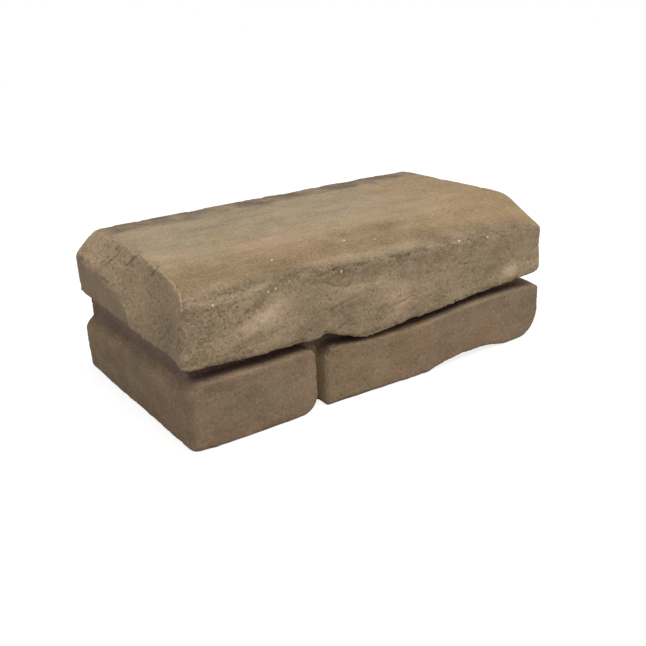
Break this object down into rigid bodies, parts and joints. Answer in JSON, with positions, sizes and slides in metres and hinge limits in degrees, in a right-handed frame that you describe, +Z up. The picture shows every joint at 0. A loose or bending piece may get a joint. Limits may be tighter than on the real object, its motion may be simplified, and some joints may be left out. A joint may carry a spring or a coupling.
{
  "type": "retaining wall block",
  "caption": "Cast concrete retaining wall block whose rough face looks like a long stone laid over shorter ones.",
  "frame": {"origin": "on the floor under the middle of the block's bounding box", "axes": "+X along the block to the right as its face is seen, -Y out of the face, +Z up"},
  "size_m": [0.457, 0.254, 0.1524],
  "materials": {
    "tan_concrete": "rough"
  },
  "bodies": {
    "root": {"wall_block": "tan_concrete"}
  },
  "joints": []
}
